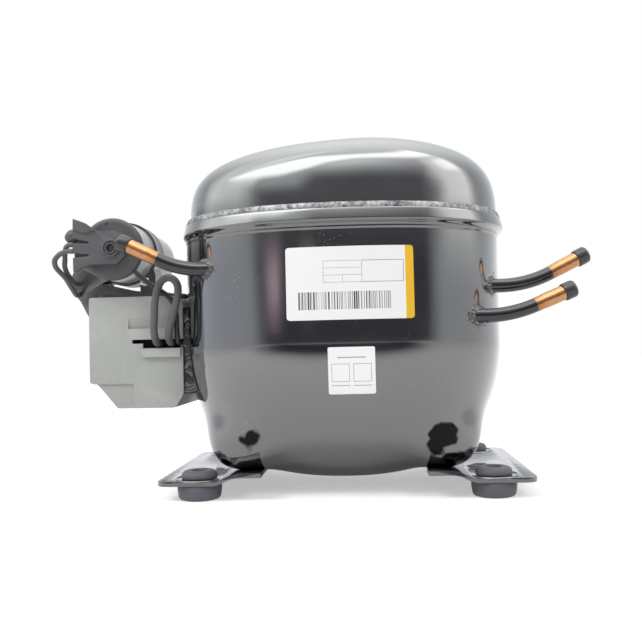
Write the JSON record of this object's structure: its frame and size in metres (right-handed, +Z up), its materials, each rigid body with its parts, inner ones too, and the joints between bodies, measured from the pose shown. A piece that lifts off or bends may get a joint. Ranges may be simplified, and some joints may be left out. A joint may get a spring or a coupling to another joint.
{
  "type": "hermetic reciprocating compressor",
  "caption": "Welded steel refrigerant compressor on two foot plates with rubber grommets, three capped copper tubes, relay cover and start capacitor; spring-hung motor and piston pump inside.",
  "frame": {"origin": "on the floor, in the middle of the four mounting holes", "axes": "+Z up along the mounting bolts; -X towards the relay cover and capacitor, +X towards the suction and process tubes; -Y towards the labelled side"},
  "size_m": [0.3166, 0.1656, 0.2054],
  "materials": {
    "gloss_black_paint": "gloss",
    "foot_paint": "gloss",
    "weld_bead": "rough",
    "grommet_rubber": "matte",
    "cap_rubber": "satin",
    "copper_tube": "satin",
    "braze": "rough",
    "header_steel": "satin",
    "pin_metal": "satin",
    "seal_glass": "gloss",
    "fence_paint": "satin",
    "relay_plastic": "matte",
    "overload_plastic": "matte",
    "cover_plastic": "matte",
    "can_metal": "satin",
    "end_cap_plastic": "matte",
    "bracket_paint": "satin",
    "screw_steel": "bright",
    "grey_lead": "matte",
    "black_lead": "satin",
    "label_film": "satin",
    "spring_steel": "satin",
    "seat_steel": "satin",
    "seat_plastic": "matte",
    "lamination_steel": "satin",
    "winding_copper": "gloss",
    "cast_aluminium": "rough",
    "shaft_iron": "machined",
    "block_iron": "rough",
    "sintered_iron": "satin",
    "reed_steel": "bright",
    "bolt_steel": "satin",
    "plate_steel": "satin",
    "gasket_fibre": "matte",
    "muffler_plastic": "matte",
    "brazed_steel": "satin",
    "line_copper": "satin",
    "plug_plastic": "matte",
    "lead_wire": "satin"
  },
  "bodies": {
    "housing": {"lower_housing": "gloss_black_paint", "upper_housing": "gloss_black_paint", "housing_weld": "weld_bead", "left_foot_plate": "foot_paint", "right_foot_plate": "foot_paint", "foot_grommets": "grommet_rubber", "suction_tube": "copper_tube", "process_tube": "copper_tube", "discharge_tube": "copper_tube", "tube_braze_rings": "braze", "terminal_header": "header_steel", "terminal_pins": "pin_metal", "pin_glass_seals": "seal_glass", "terminal_fence": "fence_paint", "start_relay": "relay_plastic", "overload_protector": "overload_plastic", "relay_cover": "cover_plastic", "capacitor_can": "can_metal", "capacitor_end_cap": "end_cap_plastic", "capacitor_bracket": "bracket_paint", "capacitor_strap": "bracket_paint", "strap_screw": "screw_steel", "relay_lead": "grey_lead", "capacitor_leads": "black_lead", "rating_label": "label_film", "approval_label": "label_film", "suspension_springs": "spring_steel", "lower_spring_seats": "seat_steel", "discharge_line": "line_copper", "motor_plug": "plug_plastic", "motor_leads": "lead_wire"},
    "pump": {"upper_spring_seats": "seat_plastic", "stator_core": "lamination_steel", "stator_windings": "winding_copper", "stator_bolts": "bolt_steel", "cylinder_block": "block_iron", "cylinder_gasket": "gasket_fibre", "valve_plate_body": "plate_steel", "valve_stop": "plate_steel", "head_gasket": "gasket_fibre", "cylinder_head": "cast_aluminium", "head_bolts": "bolt_steel", "suction_muffler": "muffler_plastic", "discharge_muffler": "brazed_steel"},
    "crank": {"crankshaft": "shaft_iron", "thrust_washer": "plate_steel", "rotor_core": "lamination_steel", "rotor_end_rings": "cast_aluminium", "oil_pickup": "plate_steel"},
    "slider": {"slide_block": "sintered_iron"},
    "link": {"oil_gallery_plug": "pin_metal"},
    "piston": {"piston_yoke": "sintered_iron"},
    "suction_valve": {"suction_reed": "reed_steel"},
    "discharge_valve": {"discharge_reed": "reed_steel"},
    "suction_cap": {"suction_tube_cap": "cap_rubber"},
    "process_cap": {"process_tube_cap": "cap_rubber"},
    "discharge_cap": {"discharge_tube_cap": "cap_rubber"}
  },
  "joints": [
    {"name": "pump_bounce", "type": "slide", "parent": "housing", "child": "pump", "axis": [0, 0, 1], "range_m": [-0.0025, 0.0025], "stiffness_N_per_m": 12000, "springref_m": 0.00421, "deforming": ["suspension_springs", "discharge_line", "motor_leads"]},
    {"name": "crank_spin", "type": "hinge", "parent": "pump", "child": "crank", "pos_m": [0.004, 0, 0.13], "axis": [0, 0, 1], "continuous": true},
    {"name": "block_turn", "type": "hinge", "parent": "crank", "child": "slider", "pos_m": [0.004, 0.009, 0.1535], "axis": [0, 0, 1], "continuous": true},
    {"name": "link_turn", "type": "hinge", "parent": "crank", "child": "link", "pos_m": [0.004, 0.0045, 0.1535], "axis": [0, 0, 1], "continuous": true},
    {"name": "piston_stroke", "type": "hinge", "parent": "link", "child": "piston", "pos_m": [0.004, 0, 0.1535], "axis": [0, 0, 1], "continuous": true},
    {"name": "suction_valve_lift", "type": "hinge", "parent": "pump", "child": "suction_valve", "pos_m": [-0.05263, 0.005, 0.143], "axis": [0, 1, 0], "range_deg": [0, 3], "stiffness_Nm_per_rad": 0.02, "springref_deg": -0.57},
    {"name": "discharge_valve_lift", "type": "hinge", "parent": "pump", "child": "discharge_valve", "pos_m": [-0.05563, -0.005, 0.143], "axis": [0, -1, 0], "range_deg": [0, 3], "stiffness_Nm_per_rad": 0.02, "springref_deg": -0.57},
    {"name": "suction_cap_pull", "type": "slide", "parent": "housing", "child": "suction_cap", "axis": [0.8851, 0.1561, 0.4384], "range_m": [0, 0.04]},
    {"name": "process_cap_pull", "type": "slide", "parent": "housing", "child": "process_cap", "axis": [0.9182, 0.129, 0.3746], "range_m": [0, 0.04]},
    {"name": "discharge_cap_pull", "type": "slide", "parent": "housing", "child": "discharge_cap", "axis": [-0.8988, 0, 0.4384], "range_m": [0, 0.04]}
  ],
  "couplings": [
    {"joint": "block_turn", "follows": "crank_spin", "ratio": -1},
    {"joint": "link_turn", "follows": "crank_spin", "ratio": -2},
    {"joint": "piston_stroke", "follows": "crank_spin", "ratio": 1}
  ]
}
